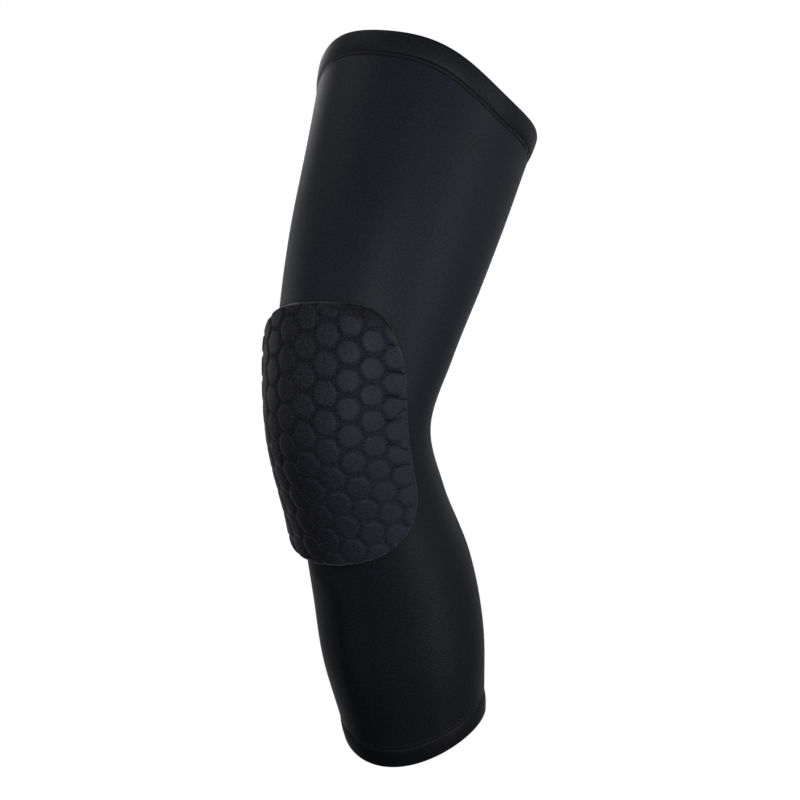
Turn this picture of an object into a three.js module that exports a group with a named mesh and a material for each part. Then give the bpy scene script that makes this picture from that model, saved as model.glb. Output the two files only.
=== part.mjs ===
// A padded compression sleeve for the knee, in the shape that it takes on a slightly bent leg.
// Millimetres, +Z up. The origin is the middle of the knee, and the knee cap faces -Y.
import * as THREE from "three";

// Sections of the leg, one row each, from the calf opening up to the thigh opening.
//   height, setback  middle of the section, above and behind the middle of the knee
//   tilt             degrees that the section's plane leans: its front rises where this is positive
//   radius           outer radius of the knit there
//   endRise          how far the section's front and back stand above its plane; its sides drop as much
//   endWave          height of a five-fold wave round the section, which flattens the front of the rim
const SECTIONS = [
  { at: "calf opening", height: -209, setback: 68.5, tilt: -18, radius: 47, endRise: -3.8, endWave: 0 },
  { at: "lower calf", height: -150, setback: 54, tilt: -17, radius: 52.8, endRise: 0, endWave: 0 },
  { at: "upper calf", height: -100, setback: 40, tilt: -19, radius: 51.7, endRise: 0, endWave: 0 },
  { at: "below the knee", height: -50, setback: 18, tilt: -19, radius: 46.4, endRise: 0, endWave: 0 },
  { at: "knee", height: 0, setback: 0, tilt: -5, radius: 46.6, endRise: 0, endWave: 0 },
  { at: "above the knee", height: 50, setback: 10.7, tilt: 15, radius: 54.5, endRise: 0, endWave: 0 },
  { at: "lower thigh", height: 100, setback: 33.8, tilt: 24, radius: 61.8, endRise: 0, endWave: 0 },
  { at: "middle thigh", height: 150, setback: 60.5, tilt: 32, radius: 67, endRise: 0, endWave: 0 },
  { at: "thigh opening", height: 196.5, setback: 84, tilt: 37, radius: 72.3, endRise: 5.8, endWave: -1.4 },
];
const KNEE_SECTION = SECTIONS.findIndex((section) => section.at === "knee");
const LAST_SECTION = SECTIONS.length - 1;

// Knit and hems.
const KNIT_WALL = 1.5;
const HEM_HEIGHT = 16;
const HEM_PROUD = 0.8;
const PIECE_GAP = 0.3;
const TURN_STEPS = 48;
const LENGTH_STEPS = 27;
const RIM_TRIES = 6;

// The turned edge in section: how far out from the knit's outer face, and how far along from the rim
// as a share of the hem's height. The last two rows are the face that meets the sleeve.
const HEM_PROFILE = [
  { out: -0.75, share: 0.0 },
  { out: -KNIT_WALL - 0.5, share: 0.1 },
  { out: -KNIT_WALL - 0.7, share: 0.5 },
  { out: -KNIT_WALL, share: 1.0 },
  { out: 0.2, share: 1.0 },
  { out: HEM_PROUD, share: 0.55 },
  { out: HEM_PROUD * 0.8, share: 0.14 },
  { out: 0.25, share: 0.02 },
];

// Foam pad: u runs round the knee from its front line, v up that line, both on the knit's outer face.
const PAD_HALF_WIDTH = 59;
const PAD_HALF_HEIGHT = 85;
const PAD_RISE = 5;
const PAD_SQUARENESS = 3.65;
// As worn, the pad narrows a little to its top and sits askew: its +X side is higher.
const PAD_TAPER = 0.066;
const PAD_SKEW = 0.126;
const PAD_THICKNESS = 9;
const PAD_SEAT_GAP = 0.5;
const PAD_EDGE_ROUND = 9;
const PAD_EDGE_SHARE = 0.22;
const PAD_OUTLINE_STEPS = 44;

// Honeycomb: columns of flat-topped hexagons, which lean a little across the front line. A cell that the
// outline cuts off keeps at least a small share of its width as a raised top.
const CELL_COLUMN = 12.2;
const CELL_PITCH = 17.2;
const CELL_START = 2.3;
const CELL_SHIFT = 1.2;
const CELL_LEAN = 0.036;
const CELL_RELIEF = 1.6;
const CELL_GROOVE = 1.5;
const CELL_CROWN = 0.4;
const CELL_TOP_LEAST = 0.3;
// The bent knee lifts the cells at the sides: none near the top of the pad, most at its foot.
const SIDE_LIFT = 0.05;
const SIDE_LIFT_TOP = 62;
const SIDE_LIFT_FULL_AT = 38;

const material = (color, roughness) => new THREE.MeshStandardMaterial({ color, roughness, metalness: 0 });

// One column of the table at a place along the leg, where whole numbers are the rows.
function sectionValue(column, place) {
  const first = Math.min(Math.max(Math.floor(place), 0), LAST_SECTION - 1);
  const share = place - first;
  const value = (row) => SECTIONS[Math.min(Math.max(row, 0), LAST_SECTION)][column];
  const before = value(first);
  const after = value(first + 1);
  const slopeBefore = (after - value(first - 1)) / 2;
  const slopeAfter = (value(first + 2) - before) / 2;
  const cubic = 2 * (before - after) + slopeBefore + slopeAfter;
  const square = 3 * (after - before) - 2 * slopeBefore - slopeAfter;
  return ((cubic * share + square) * share + slopeBefore) * share + before;
}

// A point on the leg: place along it, angle round it from the front, and distance out from the knit.
function legPoint(place, angle, out = 0) {
  const tilt = THREE.MathUtils.degToRad(sectionValue("tilt", place));
  const reach = sectionValue("radius", place) + out;
  const rise =
    sectionValue("endRise", place) * Math.cos(2 * angle) + sectionValue("endWave", place) * Math.cos(5 * angle);
  const forward = reach * Math.cos(angle);
  return new THREE.Vector3(
    reach * Math.sin(angle),
    sectionValue("setback", place) - forward * Math.cos(tilt) + rise * Math.sin(tilt),
    sectionValue("height", place) + forward * Math.sin(tilt) + rise * Math.cos(tilt),
  );
}

// The place that lies a distance in from one opening, measured down the knit at that angle. Each try
// corrects the one before it, because the sections crowd together towards the opening.
function placeFromRim(rim, angle, distance) {
  if (distance === 0) return rim;
  const start = legPoint(rim, angle);
  let inward = rim === 0 ? 0.1 : -0.1;
  for (let attempt = 0; attempt < RIM_TRIES; attempt++) {
    inward *= distance / start.distanceTo(legPoint(rim + inward, angle));
  }
  return rim + inward;
}

function solidGeometry(points, triangles) {
  const geometry = new THREE.BufferGeometry().setFromPoints(points).setIndex(triangles);
  geometry.computeVertexNormals();
  return geometry;
}

// A closed loop of profile points carried once round the leg.
function ringGeometry(profileCount, pointAt) {
  const points = [];
  const triangles = [];
  const id = (step, turn) => (turn % TURN_STEPS) * profileCount + (step % profileCount);
  for (let turn = 0; turn < TURN_STEPS; turn++) {
    const angle = (turn / TURN_STEPS) * 2 * Math.PI;
    for (let step = 0; step < profileCount; step++) {
      points.push(pointAt(step, angle));
      triangles.push(id(step, turn), id(step + 1, turn + 1), id(step + 1, turn));
      triangles.push(id(step, turn), id(step, turn + 1), id(step + 1, turn + 1));
    }
  }
  return solidGeometry(points, triangles);
}

// The knitted tube between the hems: up its outer face and down its inner one.
function sleeveGeometry() {
  const faceCount = LENGTH_STEPS + 1;
  return ringGeometry(2 * faceCount, (step, angle) => {
    const low = placeFromRim(0, angle, HEM_HEIGHT + PIECE_GAP);
    const high = placeFromRim(LAST_SECTION, angle, HEM_HEIGHT + PIECE_GAP);
    const outside = step < faceCount;
    const share = (outside ? step : 2 * faceCount - 1 - step) / LENGTH_STEPS;
    return legPoint(THREE.MathUtils.lerp(low, high, share), angle, outside ? 0 : -KNIT_WALL);
  });
}

// The turned and stitched edge at one opening.
function hemGeometry(rim) {
  const profile = rim === 0 ? HEM_PROFILE.toReversed() : HEM_PROFILE;
  return ringGeometry(profile.length, (step, angle) => {
    const { out, share } = profile[step];
    return legPoint(placeFromRim(rim, angle, share * HEM_HEIGHT), angle, out);
  });
}

// Places along the leg by the length of the knit's front line, with 0 at the knee.
function frontLine() {
  const stepsPerSection = 40;
  const rows = [{ place: 0, length: 0 }];
  for (let step = 1; step <= LAST_SECTION * stepsPerSection; step++) {
    const place = step / stepsPerSection;
    const last = rows[rows.length - 1];
    const length = last.length + legPoint(place, 0).distanceTo(legPoint(last.place, 0));
    rows.push({ place, length });
  }
  const kneeLength = rows[KNEE_SECTION * stepsPerSection].length;
  return rows.map(({ place, length }) => ({ place, length: length - kneeLength }));
}

const FRONT_LINE = frontLine();

function placeOnFrontLine(length) {
  const after = Math.max(1, FRONT_LINE.findIndex((row) => row.length >= length));
  const low = FRONT_LINE[after - 1];
  const high = FRONT_LINE[after];
  return THREE.MathUtils.mapLinear(length, low.length, high.length, low.place, high.place);
}

// A point of the pad, standing out from the knit.
function padPoint({ u, v }, out) {
  const place = placeOnFrontLine(v);
  return legPoint(place, u / sectionValue("radius", place), out);
}

// Half the pad's width at a share of its half height, from -1 at its foot to 1 at its top.
const padHalfWidth = (upShare) => PAD_HALF_WIDTH * (1 - PAD_TAPER * upShare);

// Height of the pad's middle line at a distance round the knee.
const padMiddle = (u) => PAD_RISE + PAD_SKEW * u;

// The pad's outline: a rounded rectangle drawn as one superellipse.
function padOutline() {
  const power = 2 / PAD_SQUARENESS;
  const rounded = (x) => Math.sign(x) * Math.abs(x) ** power;
  return Array.from({ length: PAD_OUTLINE_STEPS }, (_, step) => {
    const angle = ((step + 0.5) / PAD_OUTLINE_STEPS) * 2 * Math.PI;
    const upShare = rounded(Math.sin(angle));
    const u = padHalfWidth(upShare) * rounded(Math.cos(angle));
    return { u, v: padMiddle(u) + PAD_HALF_HEIGHT * upShare };
  });
}

// The pad's height at a spot, as a share: full inside, rolling over to a low edge at the outline.
function padSwell({ u, v }) {
  const upShare = (v - padMiddle(u)) / PAD_HALF_HEIGHT;
  const across = Math.abs(u / padHalfWidth(upShare)) ** PAD_SQUARENESS;
  const along = Math.abs(upShare) ** PAD_SQUARENESS;
  const reach = (across + along) ** (1 / PAD_SQUARENESS);
  if (reach === 0) return 1;
  const inset = Math.max(0, (Math.hypot(u, v - PAD_RISE) / reach) * (1 - reach));
  const short = Math.max(0, 1 - inset / PAD_EDGE_ROUND);
  return PAD_EDGE_SHARE + (1 - PAD_EDGE_SHARE) * Math.sqrt(1 - short * short);
}

// The six corners of a cell, with the lift that the bent knee gives the cells at the sides.
function cellCorners(column, row) {
  const middleU = CELL_SHIFT + column * CELL_COLUMN;
  const middleV = CELL_START + (row + (column % 2 === 0 ? 0.5 : 0)) * CELL_PITCH;
  const halfWide = (CELL_COLUMN * 2) / 3;
  const halfTall = CELL_PITCH / 2;
  const corner = (across, along) => {
    const v = middleV + along * halfTall;
    const u = middleU + across * halfWide - CELL_LEAN * v;
    const side = Math.min(1, (u / SIDE_LIFT_FULL_AT) ** 2);
    return { u, v: v + SIDE_LIFT * (SIDE_LIFT_TOP - v) * side };
  };
  return [corner(1, 0), corner(0.5, 1), corner(-0.5, 1), corner(-1, 0), corner(-0.5, -1), corner(0.5, -1)];
}

// What is left of a polygon inside a convex outline, both counter-clockwise.
function clipped(polygon, outline) {
  let kept = polygon;
  outline.forEach((from, index) => {
    const to = outline[(index + 1) % outline.length];
    const inside = (p) => (to.u - from.u) * (p.v - from.v) - (to.v - from.v) * (p.u - from.u);
    const next = [];
    kept.forEach((p, i) => {
      const q = kept[(i + 1) % kept.length];
      const sideP = inside(p);
      const sideQ = inside(q);
      if (sideP >= 0) next.push(p);
      if (sideP >= 0 !== sideQ >= 0) {
        const share = sideP / (sideP - sideQ);
        next.push({ u: p.u + share * (q.u - p.u), v: p.v + share * (q.v - p.v) });
      }
    });
    kept = next;
  });
  return kept;
}

// Every cell of the honeycomb that shows on the pad, cut off at its outline.
function padCells() {
  const outline = padOutline();
  const columns = Math.ceil(PAD_HALF_WIDTH / CELL_COLUMN) + 1;
  const rows = Math.ceil((PAD_HALF_HEIGHT + PAD_RISE) / CELL_PITCH) + 2;
  const cells = [];
  for (let column = -columns; column <= columns; column++) {
    for (let row = -rows; row <= rows; row++) {
      const cell = clipped(cellCorners(column, row), outline);
      if (cell.length > 2) cells.push(cell);
    }
  }
  return cells;
}

function cellMiddle(cell) {
  const sum = cell.reduce((total, p) => ({ u: total.u + p.u, v: total.v + p.v }), { u: 0, v: 0 });
  return { u: sum.u / cell.length, v: sum.v / cell.length };
}

// How much a cell's raised top shrinks towards its middle to leave the groove round it.
function topShare(cell) {
  let area = 0;
  let edge = 0;
  cell.forEach((p, i) => {
    const q = cell[(i + 1) % cell.length];
    area += (p.u * q.v - q.u * p.v) / 2;
    edge += Math.hypot(q.u - p.u, q.v - p.v);
  });
  return Math.max(CELL_TOP_LEAST, 1 - (CELL_GROOVE * edge) / (2 * area));
}

// The foam pad: a raised top to each cell, grooves between them, a plain back on the knit.
function padGeometry() {
  const points = [];
  const triangles = [];
  const known = new Map();
  const vertex = (spot, out, face) => {
    const key = [spot.u.toFixed(3), spot.v.toFixed(3), face].join();
    if (!known.has(key)) known.set(key, points.push(padPoint(spot, out)) - 1);
    return known.get(key);
  };
  const floor = (p) => vertex(p, PAD_SEAT_GAP + (PAD_THICKNESS - CELL_RELIEF) * padSwell(p), "floor");
  const back = (p) => vertex(p, PAD_SEAT_GAP, "back");
  const top = (p, crown) => vertex(p, PAD_SEAT_GAP + PAD_THICKNESS * padSwell(p) + crown, "top");
  const edges = new Map();

  for (const cell of padCells()) {
    const middle = cellMiddle(cell);
    const share = topShare(cell);
    const shrunk = ({ u, v }) => ({
      u: THREE.MathUtils.lerp(middle.u, u, share),
      v: THREE.MathUtils.lerp(middle.v, v, share),
    });
    const crown = top(middle, CELL_CROWN);
    const seat = back(middle);
    cell.forEach((p, i) => {
      const q = cell[(i + 1) % cell.length];
      if (floor(p) === floor(q)) return;
      const [topP, topQ] = [top(shrunk(p), 0), top(shrunk(q), 0)];
      triangles.push(floor(p), floor(q), topQ, floor(p), topQ, topP, topP, topQ, crown);
      triangles.push(back(q), back(p), seat);
      edges.set(`${floor(p)}_${floor(q)}`, [p, q]);
    });
  }
  // An edge with no cell on its other side lies on the outline, where the wall goes down to the back.
  for (const [p, q] of edges.values()) {
    if (edges.has(`${floor(q)}_${floor(p)}`)) continue;
    triangles.push(floor(p), back(p), back(q), floor(p), back(q), floor(q));
  }
  return solidGeometry(points, triangles);
}

function piece(name, geometry, finish) {
  const mesh = new THREE.Mesh(geometry, finish);
  mesh.name = name;
  return mesh;
}

const kneePad = new THREE.Group();
kneePad.add(
  piece("sleeve", sleeveGeometry(), material("#1d1e21", 0.62)),
  piece("top_hem", hemGeometry(LAST_SECTION), material("#1b1c1f", 0.66)),
  piece("bottom_hem", hemGeometry(0), material("#1b1c1f", 0.66)),
  piece("knee_pad", padGeometry(), material("#222326", 0.7)),
);

export default kneePad;
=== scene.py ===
"""A padded knee sleeve: black compression knit with coverstitched hems and a honeycomb foam pad."""

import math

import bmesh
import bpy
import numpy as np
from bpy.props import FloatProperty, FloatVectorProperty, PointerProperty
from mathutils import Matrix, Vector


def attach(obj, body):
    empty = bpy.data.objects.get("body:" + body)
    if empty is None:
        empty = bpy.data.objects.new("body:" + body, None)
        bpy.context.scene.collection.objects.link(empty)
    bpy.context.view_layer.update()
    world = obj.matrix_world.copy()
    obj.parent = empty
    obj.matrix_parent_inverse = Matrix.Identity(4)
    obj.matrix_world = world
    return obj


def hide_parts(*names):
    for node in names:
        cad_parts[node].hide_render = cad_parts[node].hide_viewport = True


bl_info = {
    "name": "Padded Knee Sleeve",
    "version": (1, 0, 0),
    "blender": (4, 5, 0),
    "location": "View3D > Sidebar > Knee Sleeve",
    "description": "Builds a knitted knee sleeve with stitched hems and a honeycomb pad, and a stage for it",
    "category": "Add Mesh",
}

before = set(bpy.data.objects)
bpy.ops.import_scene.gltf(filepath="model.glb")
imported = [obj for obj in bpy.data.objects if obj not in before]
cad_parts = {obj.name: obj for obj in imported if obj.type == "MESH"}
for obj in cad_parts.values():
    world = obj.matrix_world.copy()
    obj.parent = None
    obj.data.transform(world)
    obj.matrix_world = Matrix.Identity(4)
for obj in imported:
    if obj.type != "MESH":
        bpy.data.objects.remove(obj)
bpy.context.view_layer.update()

MM = 0.001
BODY = "root"
CLOTH_UV = "cloth"
# Each piece's mesh holds a tone that sets how pale its knit is; it carries the knit's stretch and painted
# light and shade.
TONE = "tone"
DULL = "dull"

# Sections of the leg from the calf opening up, in millimetres and degrees, as the solids have them.
SECTION_COLUMNS = ("height", "setback", "tilt", "radius", "end_rise", "end_wave")
SECTION_ROWS = (
    (-209, 68.5, -18, 47.0, -3.8, 0),  # calf opening
    (-150, 54.0, -17, 52.8, 0, 0),  # lower calf
    (-100, 40.0, -19, 51.7, 0, 0),  # upper calf
    (-50, 18.0, -19, 46.4, 0, 0),  # below the knee
    (0, 0.0, -5, 46.6, 0, 0),  # knee
    (50, 10.7, 15, 54.5, 0, 0),  # above the knee
    (100, 33.8, 24, 61.8, 0, 0),  # lower thigh
    (150, 60.5, 32, 67.0, 0, 0),  # middle thigh
    (196.5, 84.0, 37, 72.3, 5.8, -1.4),  # thigh opening
)
SECTIONS = dict(zip(SECTION_COLUMNS, np.array(SECTION_ROWS, float).T))
KNEE_PLACE = 4
CALF_RIM = 0
THIGH_RIM = len(SECTION_ROWS) - 1

# Hem in section, in millimetres: out from the knit's face, and in from the rim. It starts in the seam with
# the sleeve, goes up the outside, over the fold and down the turned-in layer to its raw edge.
HEM_PROFILE = (
    (-0.95, 15.75),
    (-0.45, 15.70),
    (-0.15, 15.50),
    (0.00, 15.00),
    (0.04, 14.55),
    (-0.02, 14.00),
    (-0.30, 13.40),
    (0.00, 12.75),
    (0.12, 12.00),
    (0.25, 10.00),
    (0.32, 6.00),
    (0.30, 2.40),
    (0.18, 0.75),
    (-0.30, 0.10),
    (-0.95, 0.00),
    (-1.65, 0.20),
    (-2.20, 1.10),
    (-2.35, 6.00),
    (-2.20, 13.40),
    (-2.40, 16.20),
    (-2.35, 17.90),
    (-1.75, 18.00),
    (-1.65, 16.00),
)
# Rows of needle thread: in from the rim, and out from the knit's face at the middle of a stitch.
STITCH_ROWS = ((13.4, -0.22), (15.82, -0.30))


def linear(hex_colour):
    """Linear RGB of an sRGB hex colour."""
    channels = [int(hex_colour[i:i + 2], 16) / 255 for i in (1, 3, 5)]
    return tuple(c / 12.92 if c <= 0.04045 else ((c + 0.055) / 1.055) ** 2.4 for c in channels)


def length_property(name, description, default_mm):
    """A size that a user would change, given in millimetres and kept in metres."""
    return FloatProperty(
        name=name, description=description, default=default_mm * MM, unit="LENGTH", precision=4
    )


def colour_property(name, description, hex_colour):
    """A colour that a user would change."""
    return FloatVectorProperty(
        name=name, description=description, subtype="COLOR", min=0, max=1, default=linear(hex_colour)
    )


class KneeSleeveKnit(bpy.types.PropertyGroup):
    """Sizes of the knitted tube, its hems and their stitches."""

    wall: length_property("Knit wall", "Thickness of the knit", 1.5)
    hem_height: length_property("Hem height", "From the rim to the seam with the sleeve", 15.8)
    seam_draw: length_property("Seam draw", "How far a hem's seam draws the knit in", 0.7)
    seam_gap: length_property("Seam gap", "Clear gap between a hem and the sleeve", 0.1)
    stitch_pitch: length_property("Stitch pitch", "From one stitch to the next", 3.0)
    stitch_length: length_property("Stitch length", "Length of thread that shows in one stitch", 2.5)
    thread: length_property("Thread", "Diameter of the sewing thread", 0.5)


class KneeSleevePad(bpy.types.PropertyGroup):
    """Sizes of the foam pad and its honeycomb."""

    half_width: length_property("Half width", "From the front line round to the pad's side", 59)
    half_height: length_property("Half height", "From the pad's middle up to its top", 85)
    rise: length_property("Rise", "Height of the pad's middle above the knee's", 5)
    squareness: FloatProperty(name="Squareness", description="Exponent of the outline", default=3.65, min=2)
    taper: FloatProperty(name="Taper", description="Share of its width lost to its top", default=0.066)
    skew: FloatProperty(name="Skew", description="Rise of a spot for its distance to the side", default=0.126)
    thickness: length_property("Thickness", "Height of the cells above the knit", 9)
    seat: length_property("Seat", "Gap under the pad's back", 0.1)
    column: length_property("Column", "Spacing of the cell columns on the knit", 12.2)
    pitch: length_property("Pitch", "Spacing of the cells up a column", 17.2)
    start: length_property("Start", "Height of a cell beside the front line", 2.3)
    shift: length_property("Shift", "How far the middle column stands to the side of the front line", 1.2)
    lean: FloatProperty(name="Lean", description="Sideways run of a column for its height", default=0.036)
    relief: length_property("Relief", "Depth of the grooves between cells", 0.48)


class KneeSleeveColours(bpy.types.PropertyGroup):
    """Colours of the cloth and the stage."""

    knit: colour_property("Knit", "Dyed black knit", "#191b23")
    pad: colour_property("Pad cover", "Knit stretched over the foam", "#1c1d24")
    thread: colour_property("Thread", "Sewing thread", "#0d0d0f")
    floor: colour_property("Floor", "Plain pale floor", "#ffffff")


class KneeSleeveStage(bpy.types.PropertyGroup):
    """Camera and floor."""

    azimuth: FloatProperty(
        name="Azimuth", description="Camera's side", default=math.radians(33.1), subtype="ANGLE"
    )
    elevation: FloatProperty(
        name="Elevation", description="Camera's height", default=math.radians(12), subtype="ANGLE"
    )
    distance: length_property("Distance", "Camera to the middle of the view", 1600)
    frame_width: length_property("Frame width", "Width of the view at that distance", 496)
    floor_drop: length_property("Floor drop", "Floor below the middle of a standing wearer's knee", 500)
    floor_radius: length_property("Floor radius", "Reach of the floor", 20000)


def section_value(column, place):
    """One column of the section table at places along the leg, where whole numbers are the rows."""
    values = SECTIONS[column]
    first = np.clip(np.floor(place).astype(int), 0, THIGH_RIM - 1)
    share = place - first
    before, after = values[first], values[first + 1]
    slope_before = (after - values[np.maximum(first - 1, 0)]) / 2
    slope_after = (values[np.minimum(first + 2, THIGH_RIM)] - before) / 2
    cubic = 2 * (before - after) + slope_before + slope_after
    square = 3 * (after - before) - 2 * slope_before - slope_after
    return ((cubic * share + square) * share + slope_before) * share + before


def leg_point(place, angle, out=0.0):
    """Points in metres: place along the leg, angle round it from the front, metres out from the knit."""
    place, angle, out = np.broadcast_arrays(np.asarray(place, float), angle, out)
    tilt = np.radians(section_value("tilt", place))
    reach = section_value("radius", place) * MM + out
    rise = section_value("end_rise", place) * np.cos(2 * angle)
    rise = (rise + section_value("end_wave", place) * np.cos(5 * angle)) * MM
    forward = reach * np.cos(angle)
    y = section_value("setback", place) * MM - forward * np.cos(tilt) + rise * np.sin(tilt)
    z = section_value("height", place) * MM + forward * np.sin(tilt) + rise * np.cos(tilt)
    return np.stack([reach * np.sin(angle), y, z], axis=-1)


RIM_TRIES = 6
FIRST_TRY = 0.1
LEAST_CHORD = 1e-9


def place_from_rim(rim, angle, distance):
    """Places that lie a distance in from one opening, measured along the knit.

    Each try corrects the one before it, because the sections crowd together towards the opening.
    """
    start = leg_point(rim, angle)
    inward = 1 if rim == CALF_RIM else -1
    step = np.full(np.broadcast_shapes(np.shape(angle), np.shape(distance)), FIRST_TRY)
    for _ in range(RIM_TRIES):
        chord = np.linalg.norm(leg_point(rim + inward * step, angle) - start, axis=-1)
        step = np.abs(step) * distance / np.maximum(chord, LEAST_CHORD)
    return rim + inward * step


FRONT_SAMPLES = 1601


def front_line():
    """Places along the leg, and the length of the knit's front line there, with 0 at the knee."""
    places = np.linspace(CALF_RIM, THIGH_RIM, FRONT_SAMPLES)
    steps = np.linalg.norm(np.diff(leg_point(places, 0.0), axis=0), axis=1)
    lengths = np.concatenate([[0], np.cumsum(steps)])
    return places, lengths - np.interp(KNEE_PLACE, places, lengths)


FRONT_PLACES, FRONT_LENGTHS = front_line()


def smooth(share):
    """0 to 1 with flat ends."""
    share = np.clip(share, 0, 1)
    return share * share * (3 - 2 * share)


# Tone along the leg: paler at the thigh, darker at the calf. It is partly the stretch of the knit, greatest
# at the thigh, and partly painted shade that darkens the calf.
STRETCH_AND_SHADE_FROM = 1.5
STRETCH_AND_SHADE_FULL = 6.0
CALF_TONE = 0.28
THIGH_TONE = 0.74


def stretch_and_shade_tone(place):
    """How pale the knit is at places along the leg, from 0 to 1: partly its stretch, partly painted shade."""
    thigh_share = smooth((place - STRETCH_AND_SHADE_FROM) / (STRETCH_AND_SHADE_FULL - STRETCH_AND_SHADE_FROM))
    return CALF_TONE + (THIGH_TONE - CALF_TONE) * thigh_share


# Painted shade darkens the knit beside the stitch rows, where the seams' grooves are, in a line this wide to
# each side.
SEAM_SHADE_WIDTH = 0.5 * MM
SEAM_SHADE_DEPTH = 0.8


def seam_shade(distance):
    """Share of the knit's tone left by the painted shade beside the stitch rows, at distances from the rim.
    """
    away = np.min([np.abs(distance - along * MM) for along, _ in STITCH_ROWS], axis=0)
    return 1 - SEAM_SHADE_DEPTH * np.exp(-((away / SEAM_SHADE_WIDTH) ** 2))


def turns(count):
    """Angles once round the leg, from the back, so that the cloth's own seam in the pattern lies there."""
    return np.linspace(-math.pi, math.pi, count, endpoint=False)


SEAM_DRAW_HEM = 5 * MM
SEAM_DRAW_SLEEVE = 28 * MM


def seam_draw(knit, distance):
    """Metres that the hem's seam draws the knit in, at distances from the rim."""
    away = distance - knit.hem_height
    reach = np.where(away < 0, SEAM_DRAW_HEM, SEAM_DRAW_SLEEVE)
    return -knit.seam_draw * np.exp(-((away / reach) ** 2))


def closed_curve(points, per_span):
    """A smooth closed curve through points, with some samples for each span."""
    points = np.asarray(points, float)
    shares = np.linspace(0, 1, per_span, endpoint=False)[:, None]
    before, after, beyond = (np.roll(points, -k, axis=0) for k in (1, 2, 3))
    spans = []
    for p, q, r, s in zip(points, before, after, beyond):
        cubic = 2 * (q - r) + (r - p) / 2 + (s - q) / 2
        square = 3 * (r - q) - (r - p) - (s - q) / 2
        spans.append(((cubic * shares + square) * shares + (r - p) / 2) * shares + q)
    return np.concatenate(spans)


def mesh_object(name, points, faces, corner_uvs, material, shading=None):
    """A smooth-shaded piece with its cloth coordinates, faces pointing out, and values for its material."""
    mesh = bpy.data.meshes.new(name)
    mesh.from_pydata(points.reshape(-1, 3), [], faces)
    layer = mesh.uv_layers.new(name=CLOTH_UV)
    layer.data.foreach_set("uv", np.asarray(corner_uvs, np.float32).ravel())
    mesh.materials.append(material)
    solid = bmesh.new()
    solid.from_mesh(mesh)
    bmesh.ops.recalc_face_normals(solid, faces=solid.faces)
    solid.to_mesh(mesh)
    solid.free()
    mesh.shade_smooth()
    for attribute, values in (shading or {}).items():
        data = mesh.attributes.new(attribute, "FLOAT", "POINT").data
        data.foreach_set("value", np.asarray(values, np.float32).ravel())
    piece = bpy.data.objects.new(name, mesh)
    bpy.context.scene.collection.objects.link(piece)
    return piece


QUAD_CORNERS = ((0, 0), (1, 0), (1, 1), (0, 1))


def ring_object(name, points, cloth_u, cloth_v, material, shading):
    """A profile carried round the leg and closed both ways: points[turn, step]."""
    turn_count, step_count = points.shape[:2]
    turn, step = np.meshgrid(np.arange(turn_count), np.arange(step_count), indexing="ij")
    faces = np.stack(
        [((turn + a) % turn_count) * step_count + (step + b) % step_count for a, b in QUAD_CORNERS], axis=-1
    ).reshape(-1, 4)
    wide = np.append(cloth_u, 2 * cloth_u[-1] - cloth_u[-2])
    tall = np.append(cloth_v, cloth_v[0])
    uvs = np.stack([np.stack([wide[turn + a], tall[step + b]], axis=-1) for a, b in QUAD_CORNERS], axis=-2)
    return mesh_object(name, points, faces.tolist(), uvs, material, shading)


def tubes_object(name, paths, outward, radii, sides, material):
    """Threads: paths[thread, ring] swept by a round section of radii[ring], joined into one mesh."""
    thread_count, ring_count = paths.shape[:2]
    along = np.gradient(paths, axis=1)
    along /= np.linalg.norm(along, axis=-1, keepdims=True)
    side = np.cross(along, outward)
    side /= np.linalg.norm(side, axis=-1, keepdims=True)
    up = np.cross(side, along)
    turn = np.linspace(0, 2 * math.pi, sides, endpoint=False)
    circle = np.cos(turn)[:, None] * up[:, :, None] + np.sin(turn)[:, None] * side[:, :, None]
    points = paths[:, :, None] + radii[None, :, None, None] * circle
    thread, ring, edge = np.meshgrid(
        np.arange(thread_count), np.arange(ring_count - 1), np.arange(sides), indexing="ij"
    )
    quads = np.stack(
        [(thread * ring_count + ring + a) * sides + (edge + b) % sides for a, b in QUAD_CORNERS], axis=-1
    ).reshape(-1, 4)
    starts = np.arange(thread_count)[:, None] * ring_count * sides + np.arange(sides)
    ends = starts + (ring_count - 1) * sides
    faces = quads.tolist() + starts.tolist() + ends.tolist()
    corner_ids = np.concatenate([part.ravel() for part in (quads, starts, ends)])
    lengths = np.linalg.norm(np.diff(paths, axis=1, append=paths[:, -1:]), axis=-1)
    lengths = np.cumsum(lengths, axis=1)
    flat = np.stack(
        np.broadcast_arrays(lengths[:, :, None], turn * radii.max()), axis=-1
    ).reshape(-1, 2)
    return mesh_object(name, points, faces, flat[corner_ids], material)


def add_node(tree, kind, settings=None, inputs=None):
    """A node with its settings, and its inputs set to values or linked to other nodes' outputs."""
    node = tree.nodes.new(kind)
    for name, value in (settings or {}).items():
        setattr(node, name, value)
    for name, value in (inputs or {}).items():
        if isinstance(value, bpy.types.NodeSocket):
            tree.links.new(value, node.inputs[name])
        else:
            node.inputs[name].default_value = value
    return node


def rgba(colour):
    """A colour with full alpha."""
    return (*colour, 1.0)


def new_material(name):
    """A material with an empty node tree."""
    material = bpy.data.materials.new(name)
    material.use_nodes = True
    material.node_tree.nodes.clear()
    return material


def set_surface(tree, closure):
    """Makes a shader's output the material's surface."""
    add_node(tree, "ShaderNodeOutputMaterial", None, {"Surface": closure})


def maths(tree, operation, *values, clamp=False):
    """The result of a Math node on numbers and other nodes' outputs."""
    settings = {"operation": operation, "use_clamp": clamp}
    return add_node(tree, "ShaderNodeMath", settings, dict(enumerate(values))).outputs[0]


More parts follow.
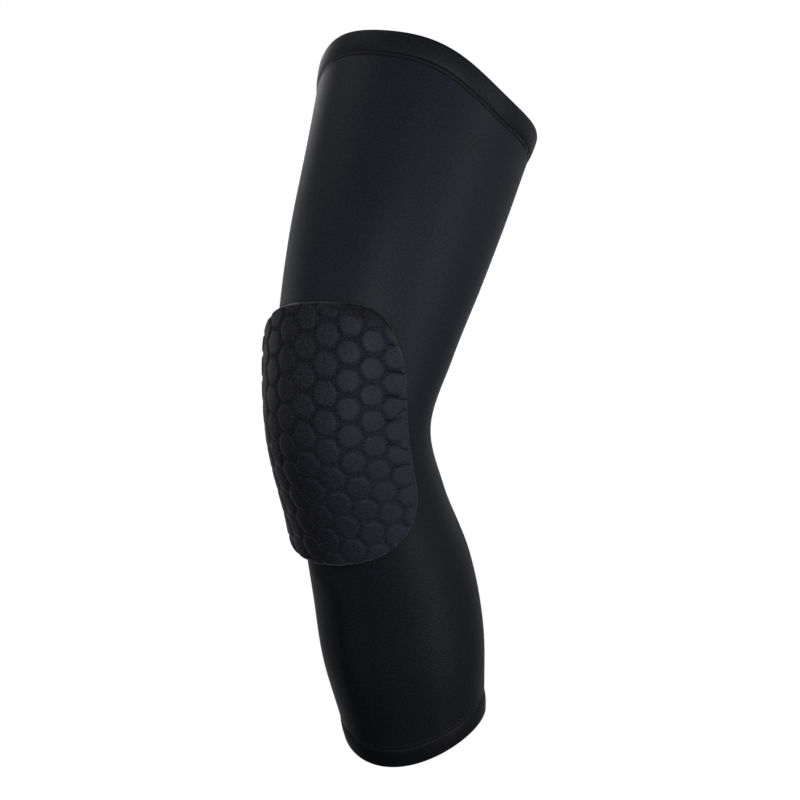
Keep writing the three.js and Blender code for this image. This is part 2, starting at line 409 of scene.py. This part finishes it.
def mapped(tree, value, ends, spread=(0.0, 1.0)):
    """A value that runs over a spread, mapped to run between two ends."""
    limits = {"From Min": spread[0], "From Max": spread[1], "To Min": ends[0], "To Max": ends[1]}
    return add_node(tree, "ShaderNodeMapRange", None, {"Value": value, **limits}).outputs["Result"]


def mesh_value(tree, attribute):
    """A value that the piece's mesh holds for each point."""
    return add_node(tree, "ShaderNodeAttribute", {"attribute_name": attribute}).outputs["Fac"]


def cloth_coordinates(tree):
    """Metres round and along the piece's cloth."""
    return add_node(tree, "ShaderNodeUVMap", {"uv_map": CLOTH_UV}).outputs["UV"]


NOISE_DETAIL = 3.0
# The Wave texture turns by this many radians over one unit at scale 1.
WAVE_RADIANS = 20


def noise(tree, vector, size_mm):
    """Soft noise with patches of about that size, from 0 to 1."""
    inputs = {"Vector": vector, "Scale": 1 / (size_mm * MM), "Detail": NOISE_DETAIL}
    return add_node(tree, "ShaderNodeTexNoise", None, inputs).outputs["Fac"]


def stripes(tree, cloth, direction, spacing_mm, waviness=None):
    """Stripes that far apart, from 0 to 1, one after the other in a direction of the cloth."""
    settings = {"wave_type": "BANDS", "bands_direction": direction}
    scale = 2 * math.pi / (WAVE_RADIANS * spacing_mm * MM)
    inputs = {"Vector": cloth, "Scale": scale, **(waviness or {})}
    return add_node(tree, "ShaderNodeTexWave", settings, inputs).outputs["Fac"]


# The knit's loops are drawn about twice as coarse as real, so that they show.
WALE_MM = 1.1
WALE_WAVINESS = {"Distortion": 4.0, "Detail": 3.0, "Detail Scale": 2.5}
COURSE_MM = 1.5
COURSE_WAVINESS = {"Distortion": 5.0, "Detail": 3.0, "Detail Scale": 2.5}
LOOP_SHARE = 0.2
FUZZ_MM = 1.2
FUZZ_STRETCH = (0.8, 1.0, 1.0)


def knit_height(tree, cloth):
    """Height of a fine warp knit: fuzz over its wales and courses."""
    wales = stripes(tree, cloth, "X", WALE_MM, WALE_WAVINESS)
    courses = stripes(tree, cloth, "Y", COURSE_MM, COURSE_WAVINESS)
    loops = maths(tree, "MULTIPLY", wales, courses)
    stretched = add_node(tree, "ShaderNodeMapping", None, {"Vector": cloth, "Scale": FUZZ_STRETCH})
    return maths(tree, "MULTIPLY_ADD", loops, LOOP_SHARE, noise(tree, stretched.outputs["Vector"], FUZZ_MM))


# Heights of the knit over which its tone shifts from hollows to loops, and over which its gloss does.
GRAIN_HEIGHTS = (0.3, 0.8)
GLOSS_HEIGHTS = (0.0, 1.2)
KNIT_BUMP = {"Strength": 0.5, "Distance": 0.15 * MM}
KNIT_FINISH = {"IOR": 1.53, "Specular IOR Level": 0.2, "Sheen Weight": 0.15, "Sheen Roughness": 0.35}


def grain(tree, height, amount):
    """The knit's relief as a shift of tone, darker in its hollows and paler on its loops."""
    return mapped(tree, height, (-amount, amount), GRAIN_HEIGHTS)


def set_knit_surface(tree, colour, shades, pale, rough, height):
    """A knit between the dark and the pale shade of its colour, with its relief and its sheen."""
    dark, light = (rgba([channel * shade for channel in colour]) for shade in shades)
    tone = add_node(tree, "ShaderNodeMix", {"data_type": "RGBA"}, {"Factor": pale, 6: dark, 7: light})
    bump = add_node(tree, "ShaderNodeBump", None, {"Height": height, **KNIT_BUMP})
    inputs = {
        "Base Color": tone.outputs[2],
        "Roughness": rough,
        "Normal": bump.outputs["Normal"],
        **KNIT_FINISH,
    }
    set_surface(tree, add_node(tree, "ShaderNodeBsdfPrincipled", None, inputs).outputs["BSDF"])


# Shades are factors of the colour from dark to pale, and roughness runs from hollows to loops.
# Grain is how far the knit's own relief shifts its tone between the two shades.
KNIT_SHADES = (0.3, 1.55)
KNIT_ROUGHNESS = (0.62, 0.5)
KNIT_GRAIN = 0.42
SHADE_MM = 60.0
SHADE_DRIFT = 0.1


def nylon_knit(colours):
    """Dyed nylon and elastane warp knit, finished smooth: dark, even, with a soft bloom at grazing angles."""
    material = new_material("nylon_elastane_knit")
    tree = material.node_tree
    cloth = cloth_coordinates(tree)
    height = knit_height(tree, cloth)
    drift = mapped(tree, noise(tree, cloth, SHADE_MM), (-SHADE_DRIFT, SHADE_DRIFT))
    uneven = maths(tree, "ADD", drift, grain(tree, height, KNIT_GRAIN))
    pale = maths(tree, "ADD", mesh_value(tree, TONE), uneven, clamp=True)
    rough = mapped(tree, height, KNIT_ROUGHNESS, GLOSS_HEIGHTS)
    set_knit_surface(tree, colours.knit, KNIT_SHADES, pale, rough, height)
    return material


PAD_SHADES = (0.05, 1.95)
PAD_ROUGHNESS = (0.66, 0.54)
PAD_GRAIN = 0.6
DULL_ROUGHNESS = 0.3


def padded_knit(colours):
    """The same knit pressed over foam cells: its tone, from the mesh, is paler on their crowns and darker in
    the grooves as painted shade.
    """
    material = new_material("knit_bonded_over_foam")
    tree = material.node_tree
    height = knit_height(tree, cloth_coordinates(tree))
    pale = maths(tree, "ADD", mesh_value(tree, TONE), grain(tree, height, PAD_GRAIN), clamp=True)
    gloss = mapped(tree, height, PAD_ROUGHNESS, GLOSS_HEIGHTS)
    rough = maths(tree, "MULTIPLY_ADD", mesh_value(tree, DULL), DULL_ROUGHNESS, gloss, clamp=True)
    set_knit_surface(tree, colours.pad, PAD_SHADES, pale, rough, height)
    return material


TWIST_MM = 0.5
THREAD_ROUGHNESS = (0.7, 0.58)
THREAD_BUMP = {"Strength": 0.5, "Distance": 0.05 * MM}
THREAD_FINISH = {"IOR": 1.55, "Specular IOR Level": 0.1}


def polyester_thread(colours):
    """Twisted and textured polyester sewing thread: matt black, with its ply just showing."""
    material = new_material("polyester_thread")
    tree = material.node_tree
    ply = stripes(tree, cloth_coordinates(tree), "DIAGONAL", TWIST_MM)
    bump = add_node(tree, "ShaderNodeBump", None, {"Height": ply, **THREAD_BUMP})
    inputs = {
        "Base Color": rgba(colours.thread),
        "Roughness": mapped(tree, ply, THREAD_ROUGHNESS),
        "Normal": bump.outputs["Normal"],
        **THREAD_FINISH,
    }
    set_surface(tree, add_node(tree, "ShaderNodeBsdfPrincipled", None, inputs).outputs["BSDF"])
    return material


def white_sweep(colours):
    """Evenly lit studio paper, which the camera sees and which adds no light of its own to the cloth."""
    material = new_material("studio_paper")
    tree = material.node_tree
    glow = add_node(tree, "ShaderNodeEmission", None, {"Color": rgba(colours.floor), "Strength": 1.0})
    set_surface(tree, glow.outputs["Emission"])
    return material


CLOTH_RADIUS = 0.055
HEM_TURN_STEPS = 240
HEM_SPAN_STEPS = 3
HEMS = (("top_hem", THIGH_RIM), ("bottom_hem", CALF_RIM))
# The hems stay darker than the sleeve beside them: their doubled knit stretches less, and the bottom hem is
# darkened further by painted shade.
HEM_TONES_AND_SHADE = {"top_hem": 0.6, "bottom_hem": 0.0}


class KNEESLEEVE_OT_hems(bpy.types.Operator):
    """Turns the knit in at both openings"""

    bl_idname = "knee_sleeve.hems"
    bl_label = "Hems"

    def execute(self, context):
        profile = closed_curve(HEM_PROFILE, HEM_SPAN_STEPS) * MM
        profile[:, 0] += seam_draw(context.scene.knee_sleeve_knit, profile[:, 1])
        angles = turns(HEM_TURN_STEPS)
        steps = np.linalg.norm(np.diff(profile, axis=0, append=profile[:1]), axis=1)
        material = nylon_knit(context.scene.knee_sleeve_colours)
        for name, rim in HEMS:
            places = place_from_rim(rim, angles[:, None], profile[None, :, 1])
            points = leg_point(places, angles[:, None], profile[None, :, 0])
            piece = ring_object(
                "turned_" + name,
                points,
                angles * CLOTH_RADIUS,
                np.cumsum(steps),
                material,
                {TONE: HEM_TONES_AND_SHADE[name] * stretch_and_shade_tone(places) * seam_shade(profile[:, 1])},
            )
            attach(piece, BODY)
            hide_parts(name)
        return {"FINISHED"}


STITCH_RINGS = 7
STITCH_SIDES = 8
# A stitch thins to its ends, and they dip into the cloth by this share of the thread.
STITCH_TAPER = 0.75
STITCH_DIP = 0.8


class KNEESLEEVE_OT_stitches(bpy.types.Operator):
    """Sews two rows of needle thread round each hem"""

    bl_idname = "knee_sleeve.stitches"
    bl_label = "Stitches"

    def execute(self, context):
        knit = context.scene.knee_sleeve_knit
        material = polyester_thread(context.scene.knee_sleeve_colours)
        span = np.linspace(-1, 1, STITCH_RINGS)
        radii = knit.thread / 2 * np.sqrt(1 - STITCH_TAPER * span**4)
        for name, rim in HEMS:
            round_rim = 2 * math.pi * SECTIONS["radius"][rim] * MM
            count = round(round_rim / knit.stitch_pitch)
            half = knit.stitch_length / round_rim * math.pi
            middles = turns(count)[:, None]
            paths, outward = [], []
            for along, out in STITCH_ROWS:
                angles = middles + half * span
                places = place_from_rim(rim, angles, along * MM)
                height = seam_draw(knit, along * MM) + out * MM - STITCH_DIP * knit.thread * span**4
                paths.append(leg_point(places, angles, height))
                outward.append(leg_point(places, angles, height + MM) - paths[-1])
            piece = tubes_object(
                "stitches_" + name,
                np.concatenate(paths),
                np.concatenate(outward),
                radii,
                STITCH_SIDES,
                material,
            )
            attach(piece, BODY)
        return {"FINISHED"}


TURN_STEPS = 160
LENGTH_STEPS = 220
# The sleeve's edges roll over into the hems' seams.
ROLL_MM = 0.45
ROLL_STEPS_MM = (0, 0.04, 0.12, 0.25, 0.45, 0.8, 1.4)


# Painted shade of the pad's edge: the knit is darkened in a band of this width round the pad.
CONTACT_SHADE_WIDTH = 2.2 * MM
CONTACT_SHADE_DEPTH = 0.55


def pad_half_width(pad, upright):
    """The pad's half width, from -1 at its foot to 1 at its top: it narrows towards the thigh."""
    return pad.half_width * (1 - pad.taper * upright)


def pad_middle(pad, u):
    """Height of the pad's middle line at distances round the knee: as worn, it sits askew."""
    return pad.rise + pad.skew * u


def outline_level(pad, u, v):
    """Where a spot lies from the pad's middle, 0, to its outline, 1, and beyond."""
    upright = (v - pad_middle(pad, u)) / pad.half_height
    across = np.abs(u) / pad_half_width(pad, upright)
    return (across**pad.squareness + np.abs(upright) ** pad.squareness) ** (1 / pad.squareness)


def pad_contact_shade(pad, place, angle):
    """Share of the knit's tone left by the painted shade beside the pad, at places on the sleeve."""
    u = angle * section_value("radius", place) * MM
    v = np.interp(place, FRONT_PLACES, FRONT_LENGTHS)
    level = outline_level(pad, u, v)
    outside = np.hypot(u, v - pad.rise) * (1 - 1 / np.maximum(level, 1))
    return 1 - CONTACT_SHADE_DEPTH * np.exp(-((outside / CONTACT_SHADE_WIDTH) ** 2))


# The shin's edge lifts the knit between the pad and the bottom hem: how far, where along the front line it
# starts and ends, how soon it is full, its angle from the front at both ends, and its reach to both sides.
SHIN_MM = 3.4
SHIN_TOP = -84 * MM
SHIN_FOOT = -212 * MM
SHIN_TOP_FADE = 16 * MM
SHIN_FOOT_FADE = 60 * MM
SHIN_TOP_ANGLE = math.radians(-4)
SHIN_FOOT_ANGLE = math.radians(-10)
SHIN_LEFT = math.radians(44)
SHIN_RIGHT = math.radians(18)


def shin_rise(place, angle):
    """Metres that the shin's edge lifts the knit, at places on the sleeve."""
    v = np.interp(place, FRONT_PLACES, FRONT_LENGTHS)
    down = np.clip((SHIN_TOP - v) / (SHIN_TOP - SHIN_FOOT), 0, 1)
    away = angle - SHIN_TOP_ANGLE - (SHIN_FOOT_ANGLE - SHIN_TOP_ANGLE) * down
    slope = np.clip(1 - np.maximum(-away / SHIN_LEFT, away / SHIN_RIGHT), 0, 1)
    fade = smooth((SHIN_TOP - v) / SHIN_TOP_FADE) * smooth((v - SHIN_FOOT) / SHIN_FOOT_FADE)
    return SHIN_MM * MM * slope * fade


class KNEESLEEVE_OT_sleeve(bpy.types.Operator):
    """Knits the tube between the hems"""

    bl_idname = "knee_sleeve.sleeve"
    bl_label = "Sleeve"

    def execute(self, context):
        knit = context.scene.knee_sleeve_knit
        angles = turns(TURN_STEPS)[:, None]
        edge = knit.hem_height + knit.seam_gap
        rolled = edge + np.array(ROLL_STEPS_MM) * MM
        low = place_from_rim(CALF_RIM, angles, rolled)
        high = place_from_rim(THIGH_RIM, angles, rolled)[:, ::-1]
        shares = np.linspace(0, 1, LENGTH_STEPS)[1:-1]
        places = np.concatenate([low, low[:, -1:] + (high[:, :1] - low[:, -1:]) * shares, high], axis=1)
        steps = np.linalg.norm(np.diff(leg_point(places, angles), axis=1), axis=-1)
        climb = np.concatenate([np.zeros((TURN_STEPS, 1)), np.cumsum(steps, axis=1)], axis=1)
        descent = climb[:, -1:] - climb
        drawn = seam_draw(knit, edge + climb) + seam_draw(knit, edge + descent) + shin_rise(places, angles)
        short = np.clip(1 - np.minimum(climb, descent) / (ROLL_MM * MM), 0, 1)
        roll = ROLL_MM * MM * (1 - np.sqrt(1 - short**2))
        outside = leg_point(places, angles, drawn - roll)
        inside = leg_point(places, angles, drawn - knit.wall + roll)
        points = np.concatenate([outside, inside[:, ::-1]], axis=1)
        cloth_v = climb.mean(axis=0)
        cloth_v = np.concatenate([cloth_v, cloth_v[::-1]])
        material = bpy.data.materials["nylon_elastane_knit"]
        tone = stretch_and_shade_tone(places) * seam_shade(edge + climb) * seam_shade(edge + descent)
        tone = tone * pad_contact_shade(context.scene.knee_sleeve_pad, places, angles)
        tone = np.concatenate([tone, tone[:, ::-1]], axis=1)
        cloth_u = turns(TURN_STEPS) * CLOTH_RADIUS
        piece = ring_object("knit_sleeve", points, cloth_u, cloth_v, material, {TONE: tone})
        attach(piece, BODY)
        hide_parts("sleeve")
        return {"FINISHED"}


PAD_STEPS = (196, 450)
PAD_CROWDING = 0.6
PAD_BACK_SHARES = (0.9, 0.6, 0.3)
EDGE_ROUND_MM = {"top": 3.0, "side": 3.5, "bottom": 5.0}
SIDE_LIFT = 0.05
SIDE_LIFT_TOP = 62 * MM
SIDE_LIFT_FULL_AT = 38 * MM
GROOVE_MM = 0.3
RAMP_MM = 2.2
CORNER_MM = 0.9
CELL_CROWN_MM = 0.15
CROWN_TONE = 0.5
# Askew as it is, the pad bends more round the knee on its +X side, and its grooves are deeper there. Its
# cover is painted paler on that side, painted light for the lamps on the right.
BEND_FROM = -26 * MM
BEND_FULL = 42 * MM
LIT_SIDE_TONE = 0.42
SIDE_RELIEF_MM = 0.95
# Painted shade: the cover's tone in the grooves between cells, as a share of that on the crowns.
GROOVE_SHADE_TONE = 0.72
# On the other side the grooves deepen only where the pad turns out of sight.
FAR_FROM = 40 * MM
FAR_FULL = 52 * MM
FAR_RELIEF_MM = 0.7
# Painted shade darkens the pad's rim over this width.
RIM_SHADE_WIDTH = 2.5 * MM
RIM_SHADE_TONE = 0.2
# The upper corner on the +X side is pulled flat: from this share of the pad's half height, and this far to
# the side.
CORNER_FROM = 0.5
CORNER_AT = 30 * MM
CORNER_ROUND = 12 * MM
# Painted shade darkens the edge of the flattened corner by this share.
CORNER_SHADE = 0.2
# The grooves run out towards the pad's sides.
GROOVES_END_FROM = 49 * MM
GROOVES_END = 54 * MM
# The bent knee pinches the sides into cracks between cells: which cell edge, counted up from the one nearest
# the middle of the knee, and how far up the crack turns, in millimetres, on its way to the pad's edge.
CRACKS = ((4, -1.0), (3, -1.5), (2, -2.5), (1, 8.0), (0, -6.0), (-1, -0.5), (-2, 0.5))
CRACK_FROM = 42 * MM
CRACK_FULL = 45 * MM
CRACK_TURN_FROM = 47 * MM
CRACK_TURN_END = 55 * MM
CRACK_MM = 0.34
CRACK_DEPTH_MM = 2.0
CRACK_WOBBLE_MM = 0.5
CRACK_WAVES_MM = (1.3, 0.47)


def crowded(count):
    """Stations from -1 to 1 that lie closer together towards the ends."""
    reach = PAD_CROWDING * math.pi / 2
    return np.sin(np.linspace(-reach, reach, count)) / math.sin(reach)


def unlifted(u, v):
    """Heights on the pad before the bent knee lifts its sides."""
    side = np.minimum(1, (u / SIDE_LIFT_FULL_AT) ** 2) * SIDE_LIFT
    return (v - side * SIDE_LIFT_TOP) / (1 - side)


def cell_distances(pad, u, level):
    """Distance from the nearest cell's middle, and from that cell's rounded edge, across the pad's face."""
    column_step = pad.pitch * math.sqrt(3) / 2
    across = (u + pad.lean * level - pad.shift) / pad.column * column_step
    column = np.round(across / column_step)
    distances = []
    for neighbour in (-1, 0, 1):
        k = column + neighbour
        offset = np.where(k % 2 == 0, pad.pitch / 2, 0) + pad.start
        row = np.floor((level - offset) / pad.pitch)
        for step in (0, 1):
            middle = (row + step) * pad.pitch + offset
            distances.append(np.hypot(across - k * column_step, level - middle))
    nearest = np.sort(np.stack(distances), axis=0)
    edges = (nearest[1:3] ** 2 - nearest[0] ** 2) / (2 * pad.pitch)
    corner = CORNER_MM * MM
    return nearest[0], -corner * np.log(np.exp(-edges / corner).sum(axis=0))


def cracks(pad, u, level):
    """How deep in a crack each spot of the pad lies, from 0 to 1."""
    out = np.abs(u)
    turn = smooth((out - CRACK_TURN_FROM) / (CRACK_TURN_END - CRACK_TURN_FROM))
    wobble = CRACK_WOBBLE_MM * np.mean([np.sin(out / (wave * MM)) for wave in CRACK_WAVES_MM], axis=0)
    lines = [pad.start + edge * pad.pitch + (bend * turn + wobble) * MM for edge, bend in CRACKS]
    away = np.abs(np.stack(lines) - level).min(axis=0)
    return np.exp(-((away / (CRACK_MM * MM)) ** 4)) * smooth((out - CRACK_FROM) / (CRACK_FULL - CRACK_FROM))


def pad_heights(pad, u, v, inset):
    """Height of the pad's face above the knit, and how pale and how dull its cover is, from 0 to 1; its
    paleness holds painted light and shade.
    """
    level = unlifted(u, v)
    from_middle, from_edge = cell_distances(pad, u, level)
    crown = smooth((from_edge - GROOVE_MM * MM) / (RAMP_MM * MM))
    crown = np.maximum(crown, smooth((np.abs(u) - GROOVES_END_FROM) / (GROOVES_END - GROOVES_END_FROM)))
    crack = cracks(pad, u, level)
    bend = smooth((u - BEND_FROM) / (BEND_FULL - BEND_FROM))
    far = smooth((-u - FAR_FROM) / (FAR_FULL - FAR_FROM))
    relief = pad.relief + (SIDE_RELIEF_MM * MM - pad.relief) * bend + FAR_RELIEF_MM * MM * far
    depth = relief * (1 - crown) + CRACK_DEPTH_MM * MM * crack
    # The cover's tone holds painted light, paler on the bent +X side, and painted shade, darker in the
    # grooves and near black in the cracks.
    tone = (CROWN_TONE + LIT_SIDE_TONE * bend) * (crown + (1 - crown) * GROOVE_SHADE_TONE) * (1 - crack)
    # Painted shade along the rim.
    tone = tone * (RIM_SHADE_TONE + (1 - RIM_SHADE_TONE) * smooth(inset / RIM_SHADE_WIDTH))
    dome = CELL_CROWN_MM * MM * (1 - (2 * from_middle / pad.pitch) ** 2)
    upright = (v - pad_middle(pad, u)) / pad.half_height
    end = np.where(upright > 0, EDGE_ROUND_MM["top"], EDGE_ROUND_MM["bottom"])
    edge_round = (EDGE_ROUND_MM["side"] + (end - EDGE_ROUND_MM["side"]) * smooth(upright**2)) * MM
    corner = smooth((upright - CORNER_FROM) / (1 - CORNER_FROM)) * smooth(u / CORNER_AT)
    short = np.clip(1 - inset / (edge_round + (CORNER_ROUND - edge_round) * corner), 0, 1)
    swell = np.sqrt(1 - short**2) * (1 - corner) + smooth(1 - short) * corner
    dull = np.maximum(1 - crown, smooth(u / CORNER_AT) * smooth(2 * short))
    # Painted shade on the flattened corner's edge.
    tone = tone * (1 - CORNER_SHADE * corner * short)
    return pad.seat + swell * (pad.thickness - depth + dome * crown), tone, dull


def pad_grid(pad):
    """Spots of the pad's face, round the knee and up the front line, and how far in each lies."""
    across, along = np.meshgrid(*(crowded(count) for count in PAD_STEPS), indexing="ij")
    level = np.maximum(np.abs(across), np.abs(along))
    power = pad.squareness
    norm = (np.abs(across) ** power + np.abs(along) ** power) ** (1 / power)
    pull = np.divide(level, norm, out=np.ones_like(norm), where=norm > 0)
    u = across * pull * pad_half_width(pad, along * pull)
    v = pad_middle(pad, u) + along * pull * pad.half_height
    reach = np.hypot(u, v - pad.rise)
    inset = np.divide(reach, level, out=np.full_like(u, pad.half_width), where=level > 0) * (1 - level)
    return u, v, inset


def closed_pad(pad, u, v):
    """Spots of the whole pad, its face's first, the quads of face and back and the fan that closes it."""
    ids = np.arange(u.size).reshape(u.shape)
    quads = [np.stack([ids[:-1, :-1], ids[1:, :-1], ids[1:, 1:], ids[:-1, 1:]], axis=-1).reshape(-1, 4)]
    rim = np.concatenate([ids[:-1, 0], ids[-1, :-1], ids[:0:-1, -1], ids[0, :0:-1]])
    face = np.stack([u.ravel(), v.ravel()], axis=-1)
    middle = np.array([[0, pad.rise]])
    spots = [face]
    loop = rim
    for number, share in enumerate(PAD_BACK_SHARES):
        spots.append(middle + (face[rim] - middle) * share)
        inner = u.size + number * len(rim) + np.arange(len(rim))
        quads.append(np.stack([loop, inner, np.roll(inner, -1), np.roll(loop, -1)], axis=-1))
        loop = inner
    spots.append(middle)
    last = u.size + len(PAD_BACK_SHARES) * len(rim)
    fan = np.stack([np.roll(loop, -1), loop, np.full(len(rim), last)], axis=-1)
    return np.concatenate(spots), np.concatenate(quads), fan


class KNEESLEEVE_OT_pad(bpy.types.Operator):
    """Moulds the honeycomb pad over the knee cap"""

    bl_idname = "knee_sleeve.pad"
    bl_label = "Knee pad"

    def execute(self, context):
        pad = context.scene.knee_sleeve_pad
        u, v, inset = pad_grid(pad)
        heights, tone, dull = pad_heights(pad, u, v, inset)
        spots, quads, fan = closed_pad(pad, u, v)
        behind = (0, len(spots) - u.size)
        out = np.pad(heights.ravel(), behind, constant_values=pad.seat)
        places = np.interp(spots[:, 1], FRONT_LENGTHS, FRONT_PLACES)
        points = leg_point(places, spots[:, 0] / (section_value("radius", places) * MM), out)
        piece = mesh_object(
            "honeycomb_pad",
            points,
            quads.tolist() + fan.tolist(),
            np.concatenate([spots[quads.ravel()], spots[fan.ravel()]]),
            padded_knit(context.scene.knee_sleeve_colours),
            {TONE: np.pad(tone.ravel(), behind), DULL: np.pad(dull.ravel(), behind)},
        )
        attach(piece, BODY)
        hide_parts("knee_pad")
        return {"FINISHED"}


# Soft boxes round the knee: degrees round from the front and up, metres away, metres wide and tall, watts.
LIGHTS = (
    ("front_box", 33, 8, 1.5, 0.4, 0.4, 9.6),
    ("right_box", 93, 8, 1.5, 0.4, 0.4, 5.4),
    ("low_right_box", 93, -25, 1.0, 0.27, 0.27, 1.5),
    ("back_right_box", 158, 8, 1.5, 0.4, 0.4, 1.4),
    ("high_back_right_box", 153, 42, 1.5, 0.4, 0.4, 3.9),
    ("front_left_box", -27, 8, 1.5, 0.4, 0.4, 2.7),
    ("left_box", -97, 0, 1.5, 0.2, 0.2, 1.45),
    ("high_left_box", -77, 45, 1.5, 0.2, 0.2, 3.05),
    ("near_back_left_box", -127, 25, 0.7, 0.2, 0.2, 0.8),
)


def direction(azimuth, elevation):
    """Unit vector towards an azimuth from the front and an elevation, in radians."""
    flat = math.cos(elevation)
    return Vector((math.sin(azimuth) * flat, -math.cos(azimuth) * flat, math.sin(elevation)))


def aim(thing, at):
    """Turns a lamp or camera to look at a point."""
    thing.rotation_euler = (at - thing.location).to_track_quat("-Z", "Y").to_euler()


SENSOR_MM = 36
FLOOR_SIDES = 96
VIEW_MIDDLE = Vector((18.3, 22.3, 16.6)) * MM


class KNEESLEEVE_OT_stage(bpy.types.Operator):
    """Sets the floor, the lamps and the camera"""

    bl_idname = "knee_sleeve.stage"
    bl_label = "Stage"

    def execute(self, context):
        scene = context.scene
        stage = scene.knee_sleeve_stage
        scene.view_settings.view_transform = "Standard"

        turn = np.linspace(0, 2 * math.pi, FLOOR_SIDES, endpoint=False)
        rim = np.stack([np.cos(turn), np.sin(turn), 0 * turn], axis=-1) * stage.floor_radius
        mesh = bpy.data.meshes.new("floor")
        mesh.from_pydata(rim - np.array([0, 0, stage.floor_drop]), [], [list(range(len(turn)))])
        mesh.materials.append(white_sweep(scene.knee_sleeve_colours))
        floor = bpy.data.objects.new("floor", mesh)
        floor.visible_diffuse = False
        floor.visible_glossy = False
        scene.collection.objects.link(floor)

        world = bpy.data.worlds.new("studio")
        world.use_nodes = True
        world.node_tree.nodes["Background"].inputs["Color"].default_value = rgba((1, 1, 1))
        world.cycles_visibility.diffuse = False
        world.cycles_visibility.glossy = False
        scene.world = world

        for name, azimuth, elevation, distance, wide, tall, watts in LIGHTS:
            lamp = bpy.data.lights.new(name, "AREA")
            lamp.shape = "RECTANGLE"
            lamp.size, lamp.size_y, lamp.energy = wide, tall, watts
            light = bpy.data.objects.new(name, lamp)
            light.location = direction(math.radians(azimuth), math.radians(elevation)) * distance
            aim(light, Vector())
            light.visible_camera = False
            scene.collection.objects.link(light)

        lens = bpy.data.cameras.new("camera")
        lens.sensor_width = SENSOR_MM
        lens.lens = SENSOR_MM * stage.distance / stage.frame_width
        lens.clip_end = 2 * stage.floor_radius
        camera = bpy.data.objects.new("camera", lens)
        camera.location = VIEW_MIDDLE + direction(stage.azimuth, stage.elevation) * stage.distance
        aim(camera, VIEW_MIDDLE)
        scene.collection.objects.link(camera)
        scene.camera = camera
        return {"FINISHED"}


OPERATORS = (
    KNEESLEEVE_OT_hems,
    KNEESLEEVE_OT_stitches,
    KNEESLEEVE_OT_sleeve,
    KNEESLEEVE_OT_pad,
    KNEESLEEVE_OT_stage,
)


class KNEESLEEVE_PT_panel(bpy.types.Panel):
    """Buttons for each group of pieces"""

    bl_label = "Knee Sleeve"
    bl_idname = "KNEESLEEVE_PT_panel"
    bl_space_type = "VIEW_3D"
    bl_region_type = "UI"
    bl_category = "Knee Sleeve"

    def draw(self, context):
        for operator in OPERATORS:
            self.layout.operator(operator.bl_idname)


GROUPS = {
    "knee_sleeve_knit": KneeSleeveKnit,
    "knee_sleeve_pad": KneeSleevePad,
    "knee_sleeve_colours": KneeSleeveColours,
    "knee_sleeve_stage": KneeSleeveStage,
}


def register():
    for name, group in GROUPS.items():
        bpy.utils.register_class(group)
        setattr(bpy.types.Scene, name, PointerProperty(type=group))
    for kind in (*OPERATORS, KNEESLEEVE_PT_panel):
        bpy.utils.register_class(kind)


def unregister():
    for kind in (KNEESLEEVE_PT_panel, *reversed(OPERATORS)):
        bpy.utils.unregister_class(kind)
    for name, group in GROUPS.items():
        delattr(bpy.types.Scene, name)
        bpy.utils.unregister_class(group)


def main():
    register()
    bpy.ops.knee_sleeve.hems()
    bpy.ops.knee_sleeve.stitches()
    bpy.ops.knee_sleeve.sleeve()
    bpy.ops.knee_sleeve.pad()
    bpy.ops.knee_sleeve.stage()


if __name__ == "__main__":
    main()
